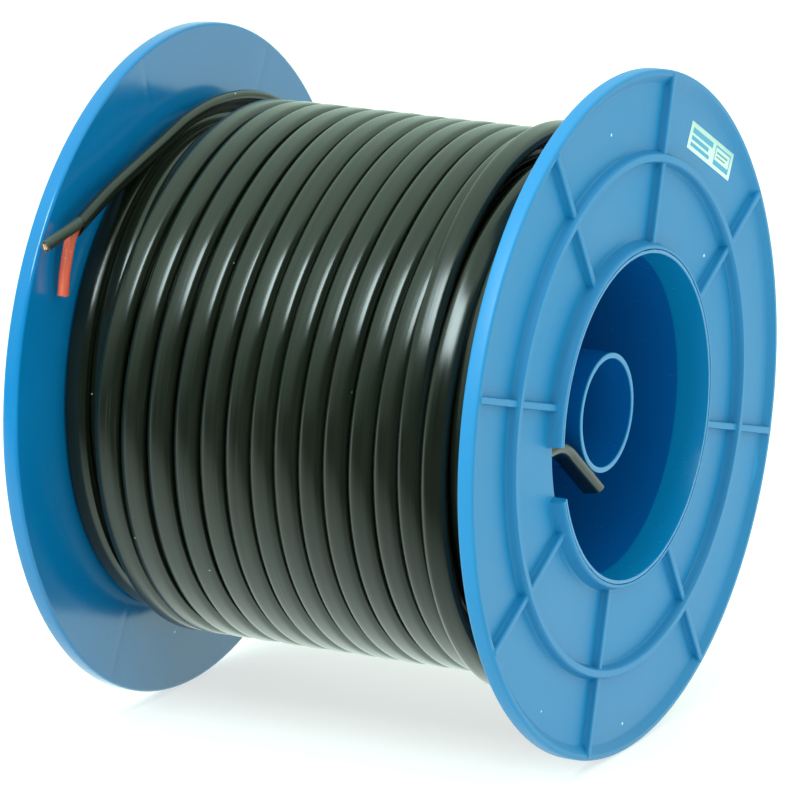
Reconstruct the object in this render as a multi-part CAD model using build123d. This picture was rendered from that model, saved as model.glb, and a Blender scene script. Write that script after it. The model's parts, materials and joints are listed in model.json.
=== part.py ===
from build123d import *
from math import cos, radians, sin, tan
import os

# A wire spool wound with flat twin-core cable. Millimetres.
#
# The model is built in a spool frame: z runs along the spool's axis and points out of the near
# flange, x and y span the flange. At export it is turned so that the axis lies along the part's Y,
# with the near flange at -Y and +Z up. The origin is on the axis, midway between the flanges.

# Flanges
FLANGE_RADIUS = 100.0
INNER_WIDTH = 140.8        # clear width between the flanges
RIM_HEIGHT = 4.9           # inner face to rim top
PLATE = 3.0                # plate thickness
RIM_TOP_RADIUS = 98.3      # inner edge of the flat rim top
RIM_FOOT_RADIUS = 95.9     # where the rim's sloped wall meets the plate
RIM_EDGE_ROUND = 1.1
RING_RADIUS = 74.6         # middle of the ring rib
RING_HEIGHT = 6.0
RING_TOP = 1.9
RING_FOOT = 3.9
COLLAR_HEIGHT = 7.0        # inner face to collar top, proud of the rim
COLLAR_TOP_RADIUS = 49.5
COLLAR_FOOT_RADIUS = 50.8
SPOKES = 8
SPOKE_WIDTH = 2.3
SPOKE_HEIGHT = 5.2
SPOKE_ROUND = 0.9
FIRST_SPOKE = -15.5        # degrees from +x
NOTCH_ANGLE = 187.0        # middle of the notch in the collar
NOTCH_SPAN = 18.9          # degrees

# Barrel and hub
BORE_RADIUS = 47.3
BARREL_RADIUS = 49.9
SPIGOT_RADIUS = 48.45      # barrel end, held in the flange's collar
SLOT_DEPTH = 10.0          # cable slot, measured inward from the flange's inner face
SPINDLE_BORE = 15.75
SPINDLE_OUTER = 17.5
SPINDLE_RECESS = 9.9       # spindle tube end below the collar top
WEB_THICKNESS = 3.0
WEB_SLEEVE = 24.0          # length of the web's collar around the spindle tube
WEB_RIM = 16.0             # length of the web's rim inside the barrel
WEB_WALL = 2.4
BOND_GAP = 0.05            # radial gap between pieces that are bonded or seated together

# Label
LABEL_LENGTH = 32.5
LABEL_WIDTH = 8.2
LABEL_THICKNESS = 0.12
LABEL_RADIUS = 86.7
LABEL_ANGLE = 50.7
LABEL_TILT = -28.9
LABEL_CORNER = 0.8

# Cable
CABLE_WIDTH = 7.7
CABLE_THICKNESS = 4.2
CORE_RADIUS = 1.66
CORE_OFFSET = 1.72         # core centre from the cable's middle
SHEATH_BORE = 1.70
CONDUCTOR_RADIUS = 0.95
CONDUCTOR_BORE = 0.97

# Winding
LAYERS = 7
TURNS = 18                 # turns that fill the width
LAYER_STEP = 4.21
WINDING_START = 50.0
TURN_GROOVE = 1.2
SIDE_GAP = 0.1             # winding to flange
OUTER_LAYER_NEAR = -48.2   # the outer layer's limits along the part's Y
OUTER_LAYER_FAR = 54.7
SIXTH_LAYER_FAR = 62.6
CLIMB_WIDTH = 7.7
CLIMB_TOP = 83.5

# Outer tail: the cable's free end, beside the far flange
TAIL_OFFSET = 65.2         # the tail's plane along the part's Y
TAIL_SLOPE = 16.6          # degrees below -x
TAIL_ROLL = 49.0           # the cable is rolled about its own length, near edge up
TAIL_START = (-21.3, 71.5)
TAIL_LENGTH = 54.5
LEAD_RADIUS = 95.0
LEAD_ANGLE = 30.0
HINGE_GAP = 0.3
PIVOT_STAND_OFF = 1.8      # core pivots, beyond the sheath's mouth

# Stripped core ends
BLACK_LENGTH = 14.7
BLACK_DIRECTION = (-0.957, -0.251, -0.143)
RED_BEND = (-2.4, -6.6, -0.3)
RED_REACH = (-3.8, -17.9, -0.8)
CONDUCTOR_PROUD = 0.25

# Inner tail: the cable's first end, in the bore
INNER_OFFSET = -66.05      # the tail's plane along the part's Y
INNER_LEVEL = -2.5         # height of its straight run through the barrel slot
INNER_LEAD = (-49.7, -45.2)
INNER_CORNER_X = -29.8
INNER_SLOPE = 38.2         # degrees down
INNER_BEND = 18.0
INNER_REACH = 30.4         # from the corner to the cut end

HALF_WIDTH = INNER_WIDTH / 2
COLLAR_TOP = HALF_WIDTH + COLLAR_HEIGHT
HALF_THICKNESS = CABLE_THICKNESS / 2
TO_PART_FRAME = Rot(90, 0, 0)


def face(*points):
    """A flat face from (radius, height) points, ready to be revolved about z."""
    return Plane.XZ * make_face(Polyline(*points, close=True))


def tube(inner, outer, low, high):
    """A plain ring about z."""
    return revolve(face((inner, low), (outer, low), (outer, high), (inner, high)), Axis.Z)


def sector(inner, outer, low, high, middle, span):
    """A block of a ring, span degrees wide about the middle angle."""
    section = face((inner, low), (outer, low), (outer, high), (inner, high))
    return Rot(0, 0, middle - span / 2) * revolve(section, Axis.Z, span)


def spoke(start, end):
    """One stretch of a radial rib along x, with a rounded top."""
    bar = Pos((start + end) / 2, 0, SPOKE_HEIGHT / 2) * Box(end - start, SPOKE_WIDTH, SPOKE_HEIGHT)
    top_edges = bar.edges().filter_by(Axis.X).group_by(Axis.Z)[-1]
    return fillet(top_edges, SPOKE_ROUND)


def flange():
    """One flange with its inner face at z = 0 and its ribbed face towards +z."""
    edge = RIM_EDGE_ROUND
    body = revolve(face(
        (SPIGOT_RADIUS + BOND_GAP, 0),
        (FLANGE_RADIUS - edge, 0),
        (FLANGE_RADIUS - 0.3 * edge, 0.3 * edge),
        (FLANGE_RADIUS, edge),
        (FLANGE_RADIUS, RIM_HEIGHT - edge),
        (FLANGE_RADIUS - 0.3 * edge, RIM_HEIGHT - 0.3 * edge),
        (FLANGE_RADIUS - edge, RIM_HEIGHT),
        (RIM_TOP_RADIUS, RIM_HEIGHT),
        (RIM_FOOT_RADIUS, PLATE),
        (RING_RADIUS + RING_FOOT / 2, PLATE),
        (RING_RADIUS + RING_TOP / 2, RING_HEIGHT),
        (RING_RADIUS - RING_TOP / 2, RING_HEIGHT),
        (RING_RADIUS - RING_FOOT / 2, PLATE),
        (COLLAR_FOOT_RADIUS, PLATE),
        (COLLAR_TOP_RADIUS, COLLAR_HEIGHT),
        (SPIGOT_RADIUS + BOND_GAP, COLLAR_HEIGHT),
    ), Axis.Z)
    for number in range(SPOKES):
        turn = Rot(0, 0, FIRST_SPOKE + number * 360 / SPOKES)
        body += turn * spoke(COLLAR_TOP_RADIUS - 0.8, RING_RADIUS)
        body += turn * spoke(RING_RADIUS, (RIM_TOP_RADIUS + RIM_FOOT_RADIUS) / 2)
    body -= sector(BORE_RADIUS, COLLAR_FOOT_RADIUS + 0.3, PLATE, COLLAR_HEIGHT + 1,
                   NOTCH_ANGLE, NOTCH_SPAN)
    # A key under the notch fills the barrel's cable slot at plate level and stops the barrel turning.
    body += sector(BORE_RADIUS, SPIGOT_RADIUS + 1, 0, PLATE, NOTCH_ANGLE, NOTCH_SPAN - 0.4)
    return body


def near_side(piece):
    return Pos(0, 0, HALF_WIDTH) * piece


def far_side(piece):
    """The same moulding turned round, so that its ribbed face points out of the far end."""
    return Rot(0, 180, 0) * near_side(piece)


def barrel():
    """The winding barrel: a tube with stepped ends and a cable slot at each end."""
    body = revolve(face(
        (BORE_RADIUS, -COLLAR_TOP),
        (SPIGOT_RADIUS, -COLLAR_TOP),
        (SPIGOT_RADIUS, -HALF_WIDTH + BOND_GAP),
        (BARREL_RADIUS, -HALF_WIDTH + BOND_GAP),
        (BARREL_RADIUS, HALF_WIDTH - BOND_GAP),
        (SPIGOT_RADIUS, HALF_WIDTH - BOND_GAP),
        (SPIGOT_RADIUS, COLLAR_TOP),
        (BORE_RADIUS, COLLAR_TOP),
    ), Axis.Z)
    slot = sector(BORE_RADIUS - 1, BARREL_RADIUS + 1, -SLOT_DEPTH, COLLAR_HEIGHT + 1,
                  NOTCH_ANGLE, NOTCH_SPAN)
    return body - near_side(slot) - far_side(slot)


def hub_web():
    """The disc at mid-length that holds the spindle tube in the barrel."""
    inner = SPINDLE_OUTER + BOND_GAP
    outer = BORE_RADIUS - BOND_GAP
    half = WEB_THICKNESS / 2
    disc = tube(inner, outer, -half, half)
    sleeve = tube(inner, inner + WEB_WALL, -WEB_SLEEVE / 2, WEB_SLEEVE / 2)
    rim = tube(outer - WEB_WALL, outer, -WEB_RIM / 2, WEB_RIM / 2)
    return disc + sleeve + rim


def spindle_tube():
    end = COLLAR_TOP - SPINDLE_RECESS
    return tube(SPINDLE_BORE, SPINDLE_OUTER, -end, end)


def label():
    """A thin sticker on the near flange's plate, clear of the ribs."""
    sticker = extrude(RectangleRounded(LABEL_LENGTH, LABEL_WIDTH, LABEL_CORNER), LABEL_THICKNESS)
    place = Rot(0, 0, LABEL_ANGLE) * Pos(LABEL_RADIUS, 0, PLATE + BOND_GAP)
    return place * Rot(0, 0, LABEL_TILT - LABEL_ANGLE) * sticker


def winding_layer(number, low, high):
    """One wound layer as a closed sleeve, grooved between its turns. low and high are part Y."""
    pitch = (INNER_WIDTH - 2 * SIDE_GAP) / TURNS
    inner = WINDING_START + (number - 1) * LAYER_STEP
    outer = inner + CABLE_THICKNESS
    count = round((high - low) / pitch)
    step = (high - low) / count
    points = [(inner, -high), (outer - TURN_GROOVE, -high)]
    for turn in range(count):
        base = -high + turn * step
        points.append((outer, base + TURN_GROOVE))
        points.append((outer, base + step - TURN_GROOVE))
        points.append((outer - TURN_GROOVE, base + step))
    points.append((inner, -low))
    return revolve(face(*points), Axis.Z)


def climbing_turn():
    """The turn near the near flange that stands proud where the winding climbs to its outer layer."""
    inner = WINDING_START + (LAYERS - 1) * LAYER_STEP
    low = -OUTER_LAYER_NEAR + SIDE_GAP
    high = low + CLIMB_WIDTH
    corner = TURN_GROOVE
    return revolve(face(
        (inner, low),
        (CLIMB_TOP - corner, low),
        (CLIMB_TOP, low + corner),
        (CLIMB_TOP, high - corner),
        (CLIMB_TOP - corner, high),
        (inner, high),
    ), Axis.Z)


def cable_section():
    """The cable's outline, with its width along local x."""
    return SlotOverall(CABLE_WIDTH, CABLE_THICKNESS)


def core_pair(radius):
    return Pos(CORE_OFFSET, 0) * Circle(radius) + Pos(-CORE_OFFSET, 0) * Circle(radius)


def one_core(side, outer, inner=0.0):
    """The section of one core, or of its conductor, on the side +1 or -1."""
    section = Pos(side * CORE_OFFSET, 0) * Circle(outer)
    if inner:
        section -= Pos(side * CORE_OFFSET, 0) * Circle(inner)
    return section


def cable_pieces(prefix, build):
    """The five pieces of a stretch of cable. build turns a section into a solid."""
    return {
        prefix + "_sheath": build(cable_section() - core_pair(SHEATH_BORE)),
        prefix + "_black_core": build(one_core(1, CORE_RADIUS, CONDUCTOR_BORE)),
        prefix + "_black_conductor": build(one_core(1, CONDUCTOR_RADIUS)),
        prefix + "_red_core": build(one_core(-1, CORE_RADIUS, CONDUCTOR_BORE)),
        prefix + "_red_conductor": build(one_core(-1, CONDUCTOR_RADIUS)),
    }


# The outer tail's own axes: along it, away from the spool, and across its width.
TAIL_ALONG = Vector(-cos(radians(TAIL_SLOPE)), -sin(radians(TAIL_SLOPE)), 0)
TAIL_OUTWARD = Vector(-sin(radians(TAIL_SLOPE)), cos(radians(TAIL_SLOPE)), 0)
TAIL_ACROSS = TAIL_OUTWARD * sin(radians(TAIL_ROLL)) + Vector(0, 0, 1) * cos(radians(TAIL_ROLL))
TAIL_ORIGIN = Vector(TAIL_START[0], TAIL_START[1], -TAIL_OFFSET)
TAIL_MOUTH = TAIL_ORIGIN + TAIL_ALONG * TAIL_LENGTH


def outer_lead():
    """The last wrap before the free tail, an arc that ends where the tail leaves the winding."""
    section = Plane(origin=TAIL_ORIGIN, x_dir=TAIL_ACROSS, z_dir=TAIL_ALONG) * cable_section()
    centre = TAIL_ORIGIN - TAIL_OUTWARD * LEAD_RADIUS
    return revolve(section, Axis(centre, (0, 0, -1)), LEAD_ANGLE)


def outer_tail():
    start = TAIL_ORIGIN + TAIL_ALONG * HINGE_GAP
    plane = Plane(origin=start, x_dir=TAIL_ACROSS, z_dir=TAIL_ALONG)
    return cable_pieces("tail", lambda section: extrude(plane * section, TAIL_LENGTH - HINGE_GAP))


def core_pivot(side):
    return TAIL_MOUTH + TAIL_ACROSS * (side * CORE_OFFSET) + TAIL_ALONG * PIVOT_STAND_OFF


def core_end(path, direction):
    """A stripped core and its conductor along a path, with a ball at the pivot end."""
    start = Plane(origin=path @ 0, z_dir=direction)
    insulation = sweep(start * Circle(CORE_RADIUS), path) + Pos(*(path @ 0)) * Sphere(CORE_RADIUS)
    insulation -= sweep(start * Circle(CONDUCTOR_BORE), path)
    tip = Plane(origin=path @ 1, z_dir=path % 1)
    conductor = sweep(start * Circle(CONDUCTOR_RADIUS), path)
    conductor += extrude(tip * Circle(CONDUCTOR_RADIUS), CONDUCTOR_PROUD)
    return insulation, conductor


def black_end():
    pivot = core_pivot(1)
    direction = Vector(*BLACK_DIRECTION).normalized()
    return core_end(Line(pivot, pivot + direction * BLACK_LENGTH), direction)


def red_end():
    pivot = core_pivot(-1)
    path = Spline(pivot, pivot + Vector(*RED_BEND), pivot + Vector(*RED_REACH))
    return core_end(path, path % 0)


def inner_lead():
    """The cable's stretch through the slot in the barrel wall."""
    plane = Plane(origin=(INNER_LEAD[0], INNER_LEVEL, -INNER_OFFSET), x_dir=(0, 0, 1), z_dir=(1, 0, 0))
    return extrude(plane * cable_section(), INNER_LEAD[1] - INNER_LEAD[0])


def inner_tail():
    """The free inner end: straight, a bend down past the spindle tube, and straight to its cut."""
    start_x = INNER_LEAD[1] + HINGE_GAP
    tangent = INNER_BEND * tan(radians(INNER_SLOPE / 2))
    slope = Vector(cos(radians(INNER_SLOPE)), -sin(radians(INNER_SLOPE)), 0)
    corner = Vector(INNER_CORNER_X, INNER_LEVEL, -INNER_OFFSET)
    start = Vector(start_x, INNER_LEVEL, -INNER_OFFSET)
    bend_in = corner - Vector(tangent, 0, 0)
    bend_out = corner + slope * tangent
    end = corner + slope * INNER_REACH
    path = Line(start, bend_in) + TangentArc(bend_in, bend_out, tangent=(1, 0, 0)) + Line(bend_out, end)
    plane = Plane(origin=start, x_dir=(0, 0, 1), z_dir=(1, 0, 0))
    return cable_pieces("inner", lambda section: sweep(plane * section, path))


def all_pieces():
    black_insulation, black_conductor = black_end()
    red_insulation, red_conductor = red_end()
    pieces = {
        "near_flange": near_side(flange()),
        "far_flange": far_side(flange()),
        "barrel": barrel(),
        "hub_web": hub_web(),
        "spindle_tube": spindle_tube(),
        "label": near_side(label()),
        "climbing_turn": climbing_turn(),
        "outer_lead": outer_lead(),
        "inner_lead": inner_lead(),
        "black_end_insulation": black_insulation,
        "black_end_conductor": black_conductor,
        "red_end_insulation": red_insulation,
        "red_end_conductor": red_conductor,
    }
    full = HALF_WIDTH - SIDE_GAP
    limits = {6: (-full, SIXTH_LAYER_FAR), 7: (OUTER_LAYER_NEAR, OUTER_LAYER_FAR)}
    for number in range(1, LAYERS + 1):
        low, high = limits.get(number, (-full, full))
        pieces[f"cable_layer_{number}"] = winding_layer(number, low, high)
    pieces.update(outer_tail())
    pieces.update(inner_tail())
    return pieces


os.makedirs("parts", exist_ok=True)
for name, piece in all_pieces().items():
    export_step(TO_PART_FRAME * piece, f"parts/{name}.step")
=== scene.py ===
import functools
import json
import math

import bmesh
import bpy
import numpy as np
from mathutils import Matrix, Vector


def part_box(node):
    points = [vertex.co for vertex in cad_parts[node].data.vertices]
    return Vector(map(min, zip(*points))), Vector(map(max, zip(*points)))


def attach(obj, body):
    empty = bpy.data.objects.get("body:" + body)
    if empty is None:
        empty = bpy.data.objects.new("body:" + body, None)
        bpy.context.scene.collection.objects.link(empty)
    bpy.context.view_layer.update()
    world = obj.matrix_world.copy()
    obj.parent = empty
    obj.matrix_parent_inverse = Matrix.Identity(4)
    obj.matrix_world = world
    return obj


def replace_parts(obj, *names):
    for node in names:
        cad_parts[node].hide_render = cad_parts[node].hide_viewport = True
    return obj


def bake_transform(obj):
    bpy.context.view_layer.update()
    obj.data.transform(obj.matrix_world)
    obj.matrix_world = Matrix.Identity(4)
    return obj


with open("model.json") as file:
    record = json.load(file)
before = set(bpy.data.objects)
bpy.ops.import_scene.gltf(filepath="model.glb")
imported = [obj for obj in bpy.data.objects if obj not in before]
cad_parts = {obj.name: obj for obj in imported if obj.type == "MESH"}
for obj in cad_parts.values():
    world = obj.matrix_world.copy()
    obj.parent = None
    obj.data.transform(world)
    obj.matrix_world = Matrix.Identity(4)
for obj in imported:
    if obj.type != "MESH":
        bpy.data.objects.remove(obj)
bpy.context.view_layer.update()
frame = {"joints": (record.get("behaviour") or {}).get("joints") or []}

# The looks of a cable spool. Lengths below are millimetres in the row frame unless a name says
# otherwise: the spool's axis is Y, the near flange is at -Y and +Z is up. Angles round the spool
# are degrees from +X towards +Z, which is also the way the cable is wound.

MM = 0.001

# Driving dimensions, from the frame
NEAR_LOW, NEAR_HIGH = (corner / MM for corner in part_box("near_flange"))
FLANGE_RADIUS = round(NEAR_HIGH.x, 2)
HALF_WIDTH = -NEAR_HIGH.y
COLLAR_TOP = -NEAR_LOW.y
BARREL_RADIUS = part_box("barrel")[1].x / MM
SPINDLE_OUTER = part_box("spindle_tube")[1].x / MM
SPINDLE_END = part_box("spindle_tube")[1].y / MM
WEB_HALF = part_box("hub_web")[1].y / MM
LAYERS = 7
LAYER_TOPS = [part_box(f"cable_layer_{number}")[1].x / MM for number in range(1, LAYERS + 1)]
JOINTS = {joint["name"]: Vector(joint["pos_m"]) / MM for joint in frame["joints"]}

# Flange moulding. Heights are from the inner face.
PLATE = 3.0
RIM_HEIGHT = 4.9
COLLAR_HEIGHT = COLLAR_TOP - HALF_WIDTH
COLLAR_BORE = 48.48
KEY_RADIUS = 47.3
RIM_PROFILE = ((94.8, 0.0), (95.9, PLATE), (98.0, 4.72), (98.2, RIM_HEIGHT), (99.5, RIM_HEIGHT))
RING_PROFILE = ((71.9, 0.0), (72.65, PLATE), (73.5, 5.75), (73.75, 6.0), (75.45, 6.0), (75.7, 5.75),
                (76.55, PLATE), (77.3, 0.0))
COLLAR_PROFILE = ((48.0, COLLAR_HEIGHT), (49.3, COLLAR_HEIGHT), (49.6, 6.7), (50.8, PLATE), (51.6, 0.0))
SPOKE_PROFILE = ((0.0, 5.2), (0.72, 5.2), (0.92, 5.1), (1.04, 4.85), (1.1, 4.5), (1.17, PLATE), (1.5, 0.0))
RING_RADIUS = 74.6
SPOKES = 8
FIRST_SPOKE = -15.5
NOTCH_ANGLE = 187.0
NOTCH_SPAN = 18.9
FILLET = 0.4               # where ribs and plate meet
EDGE_ROUND = 0.9           # the flange's outer edges
SINK_DEPTH = 0.05
SINK_WIDTH = 1.5

# Barrel and hub
BARREL_BORE = 47.3
SPIGOT_RADIUS = 48.4       # the barrel's stepped end, in the flange's collar
SLOT_DEPTH = 10.0          # cable slot, inward from the flange's inner face
WELD_DISTANCE = 0.001      # doubled points closer than this are merged
SPINDLE_BORE = 15.75
WEB_WALL = 2.4
WEB_RIM = 8.0              # half the width of the web's rim
WEB_DISC = 1.5             # half the thickness of its disc

# Sticker
LABEL_HALF_LENGTH = 16.25
LABEL_HALF_WIDTH = 4.1
LABEL_CORNER = 0.3
LABEL_THICKNESS = 0.12
LABEL_TILT = -28.9

# Cable
CABLE_WIDTH = 7.7
CABLE_THICKNESS = 4.2
CABLE_CORNER = 1.85
CABLE_CROWN = 0.38         # how much lower the section is at its edges than in its middle
CORE_RADIUS = 1.66
CORE_OFFSET = 1.72         # core centre from the cable's middle
CORE_BORE = 0.97
WIRE_RADIUS = CORE_BORE - 0.03
SHEATH_BORE = 1.7
STRAND_RADIUS = 0.185
STRAND_TWIST = 9           # degrees a millimetre
HALF_THICKNESS = CABLE_THICKNESS / 2

# Winding
TURN_STEP = 7.78
ANGLE_STEP = 2.0
SIDE_CLEARANCE = 0.12      # winding to flange

# Free ends
TAIL_SLOPE = 16.6          # degrees below -X
TAIL_ROLL = 49
TAIL_LENGTH = 54.5
INNER_Y = -66.05
INNER_LEVEL = -2.5
INNER_START = -52.0        # behind the barrel's wall
INNER_CORNER = -29.8
INNER_SLOPE = 38.2         # degrees down
INNER_BEND = 18.0
INNER_REACH = 30.4         # from the corner to the cut end

rng = np.random.default_rng(11)


# ---------------------------------------------------------------- meshes

SHARP_ANGLE = math.radians(38)


def add_object(name, points, faces, material, body, cable_coordinates=None):
    """A smooth closed mesh from points in millimetres, riding on a body. cable_coordinates place
    each point across and along its own cable or sticker, for the material."""
    mesh = bpy.data.meshes.new(name)
    mesh.from_pydata((np.asarray(points, float) * MM).tolist(), [], faces)
    if cable_coordinates is not None:
        layer = mesh.attributes.new("cable", "FLOAT_VECTOR", "POINT")
        layer.data.foreach_set("vector", (np.asarray(cable_coordinates) * MM).astype(np.float32).ravel())
    mesh.update()
    if signed_volume(mesh) < 0:
        mesh.flip_normals()
    mesh.shade_smooth()
    mesh.set_sharp_from_angle(angle=SHARP_ANGLE)
    mesh.materials.append(material)
    made = bpy.data.objects.new(name, mesh)
    bpy.context.scene.collection.objects.link(made)
    if body:
        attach(made, body)
    return made


def signed_volume(mesh):
    mesh.calc_loop_triangles()
    points = np.zeros(len(mesh.vertices) * 3)
    mesh.vertices.foreach_get("co", points)
    corners = np.zeros(len(mesh.loop_triangles) * 3, int)
    mesh.loop_triangles.foreach_get("vertices", corners)
    a, b, c = points.reshape(-1, 3)[corners.reshape(-1, 3)].transpose(1, 0, 2)
    return float(np.einsum("ij,ij->i", a, np.cross(b, c)).sum())


def wrapped_grid(rows, columns, closed_rows=True):
    """Quads of a grid of rows by columns that closes round its columns, and round its rows if asked."""
    last = rows if closed_rows else rows - 1
    row, column = np.meshgrid(np.arange(last), np.arange(columns), indexing="ij")
    below, right = (row + 1) % rows, (column + 1) % columns
    quads = np.stack([row * columns + column, row * columns + right,
                      below * columns + right, below * columns + column], axis=-1)
    return quads.reshape(-1, 4).tolist()


def capped_grid(rows, columns):
    """A grid of rings that is closed by one face at each end."""
    faces = wrapped_grid(rows, columns, closed_rows=False)
    return faces + [tuple(range(columns))[::-1], tuple(range((rows - 1) * columns, rows * columns))]


def lathe(name, profile, material, body, segments=256, wobble=None):
    """A closed profile of (radius, y) points turned about Y. wobble may move the points."""
    profile = np.asarray(profile, float)
    angles = np.radians(np.arange(segments) * 360 / segments)
    radius = np.repeat(profile[:, 0][:, None], segments, 1)
    height = np.repeat(profile[:, 1][:, None], segments, 1)
    if wobble:
        radius, height = wobble(radius, height, angles)
    points = np.stack([radius * np.cos(angles), height, radius * np.sin(angles)], axis=-1)
    return add_object(name, points.reshape(-1, 3), wrapped_grid(len(profile), segments), material, body)


def rounded(corners, radius, steps=4):
    """A closed outline with each corner replaced by an arc of about the given radius."""
    corners = [np.array(c, float) for c in corners]
    outline = []
    for before, corner, after in zip(corners[-1:] + corners[:-1], corners, corners[1:] + corners[:1]):
        back, ahead = before - corner, after - corner
        reach = min(radius, 0.45 * np.linalg.norm(back), 0.45 * np.linalg.norm(ahead))
        start = corner + back / np.linalg.norm(back) * reach
        end = corner + ahead / np.linalg.norm(ahead) * reach
        for t in np.linspace(0, 1, steps + 1):
            outline.append((1 - t) ** 2 * start + 2 * t * (1 - t) * corner + t ** 2 * end)
    return outline


# ---------------------------------------------------------------- materials

class Shader:
    """A node material being built on a Principled surface."""

    def __init__(self, name):
        self.material = bpy.data.materials.new(name)
        self.material.use_nodes = True
        self.tree = self.material.node_tree
        self.surface = self.tree.nodes["Principled BSDF"]

    def add(self, kind, **settings):
        node = self.tree.nodes.new(kind)
        for key, value in settings.items():
            setattr(node, key, value)
        return node

    def feed(self, socket, value):
        if isinstance(value, bpy.types.NodeSocket):
            self.tree.links.new(value, socket)
        elif value is not None:
            socket.default_value = value

    def place(self, scale=(1, 1, 1), attribute=None):
        """Object coordinates, or a mesh attribute, stretched by scale."""
        if attribute:
            source = self.add("ShaderNodeAttribute", attribute_name=attribute).outputs["Vector"]
        else:
            source = self.add("ShaderNodeTexCoord").outputs["Object"]
        node = self.add("ShaderNodeMapping")
        self.feed(node.inputs["Vector"], source)
        node.inputs["Scale"].default_value = scale
        return node.outputs["Vector"]

    def noise(self, vector, scale, detail=2.0, roughness=0.5):
        node = self.add("ShaderNodeTexNoise")
        self.feed(node.inputs["Vector"], vector)
        self.feed(node.inputs["Scale"], scale)
        self.feed(node.inputs["Detail"], detail)
        self.feed(node.inputs["Roughness"], roughness)
        return node.outputs["Fac"]

    def remap(self, value, low, high, to_low=0.0, to_high=1.0):
        node = self.add("ShaderNodeMapRange", clamp=True)
        for socket, number in zip(node.inputs, (value, low, high, to_low, to_high)):
            self.feed(socket, number)
        return node.outputs["Result"]

    def math(self, operation, a, b=None):
        node = self.add("ShaderNodeMath", operation=operation)
        self.feed(node.inputs[0], a)
        self.feed(node.inputs[1], b)
        return node.outputs[0]

    def mix(self, factor, a, b):
        node = self.add("ShaderNodeMix", data_type="RGBA")
        colour = [socket for socket in node.inputs if socket.type == "RGBA"]
        self.feed(node.inputs[0], factor)
        for socket, value in zip(colour, (a, b)):
            self.feed(socket, value if isinstance(value, bpy.types.NodeSocket) else (*value, 1.0))
        return [socket for socket in node.outputs if socket.type == "RGBA"][0]

    def specks(self, vector, scale, size, share):
        """1 on a few small round spots, 0 elsewhere."""
        cells = self.add("ShaderNodeTexVoronoi")
        self.feed(cells.inputs["Vector"], vector)
        self.feed(cells.inputs["Scale"], scale)
        near = self.math("LESS_THAN", cells.outputs["Distance"], size)
        split = self.add("ShaderNodeSeparateColor")
        self.feed(split.inputs[0], cells.outputs["Color"])
        chosen = self.math("GREATER_THAN", split.outputs[0], 1.0 - share)
        return self.math("MULTIPLY", near, chosen)

    def bump(self, height, distance, strength=1.0, below=None):
        node = self.add("ShaderNodeBump")
        self.feed(node.inputs["Height"], height)
        self.feed(node.inputs["Distance"], distance)
        self.feed(node.inputs["Strength"], strength)
        self.feed(node.inputs["Normal"], below)
        return node.outputs["Normal"]

    def finish(self, **inputs):
        for name, value in inputs.items():
            self.feed(self.surface.inputs[name.replace("_", " ")], value)
        return self.material


def moulded_plastic(name, depth=(1.0, 1.0, 1.0), gloss=(0.15, 0.21), open_ends=None):
    """Azure plastic: faint flow marks, fine scuffs, pale worn edges and a little dust. depth below one
    darkens the colours as painted shade. Past open_ends millimetres from the middle it gives way to a painted
    lit tone. gloss is the roughness."""
    s = Shader(name)
    here = s.place()

    # Scales a colour by depth: painted shade, a darker copy of the same plastic.
    def with_painted_shade(*colour):
        return tuple(channel * share for channel, share in zip(colour, depth))

    flow = s.noise(here, 22, 3)
    scuff = s.noise(s.place((1, 0.25, 1)), 900, 4, 0.7)
    colour = s.mix(s.remap(flow, 0.3, 0.7), with_painted_shade(0.001, 0.146, 0.372), with_painted_shade(0.002, 0.160, 0.405))
    # Painted light: inside, the painted shade stops past open_ends, and the open ends get a painted lit, full
    # tone.
    if open_ends:
        across = s.add("ShaderNodeSeparateXYZ")
        s.feed(across.inputs[0], here)
        lit = s.remap(s.math("ABSOLUTE", across.outputs["Y"], 0), open_ends * MM, (open_ends + 0.5) * MM)
        colour = s.mix(lit, colour, (0.001, 0.150, 0.380))
    edge = s.remap(s.add("ShaderNodeNewGeometry").outputs["Pointiness"], 0.53, 0.6, 0.0, 0.35)
    colour = s.mix(edge, colour, with_painted_shade(0.02, 0.26, 0.60))
    dust = s.specks(here, 95, 0.045, 0.12)
    colour = s.mix(dust, colour, (0.62, 0.78, 0.88))
    scratched = s.remap(scuff, 0.62, 0.72, 0.0, 0.12)
    rough = s.math("ADD", s.remap(flow, 0.3, 0.7, *gloss), scratched)
    relief = s.bump(s.noise(here, 60, 2), 0.00025, 0.5)
    relief = s.bump(s.noise(here, 1400, 2), 0.00001, 0.35, relief)
    return s.finish(Base_Color=colour, Roughness=rough, Normal=relief, IOR=1.5)


def sheath_plastic():
    """Dark PVC drawn through a die: long fine streaks along the cable, rubs and dust."""
    s = Shader("black_sheath")
    base = (0.0046, 0.0058, 0.0034)
    fine = s.noise(s.place((1, 1, 0.006), "cable"), 3600, 3, 0.6)
    broad = s.noise(s.place((1, 1, 0.012), "cable"), 900, 2)
    patch = s.noise(s.place(), 14, 3)
    colour = s.mix(s.remap(broad, 0.35, 0.7), base, tuple(channel * 1.5 for channel in base))
    rub = s.math("MULTIPLY", s.remap(fine, 0.60, 0.70), s.remap(patch, 0.5, 0.62))
    colour = s.mix(s.math("MULTIPLY", rub, 0.35), colour, (0.05, 0.06, 0.05))
    dust = s.specks(s.place(), 210, 0.05, 0.05)
    colour = s.mix(dust, colour, (0.45, 0.5, 0.47))
    unevenness = s.math("ADD", s.math("MULTIPLY", broad, 0.5), s.math("MULTIPLY", patch, 0.5))
    roughness = s.remap(unevenness, 0.3, 0.7, 0.17, 0.27)
    relief = s.bump(fine, 0.000022, 0.6)
    relief = s.bump(broad, 0.00006, 0.4, relief)
    return s.finish(Base_Color=colour, Roughness=roughness, Normal=relief, IOR=1.5)


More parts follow.
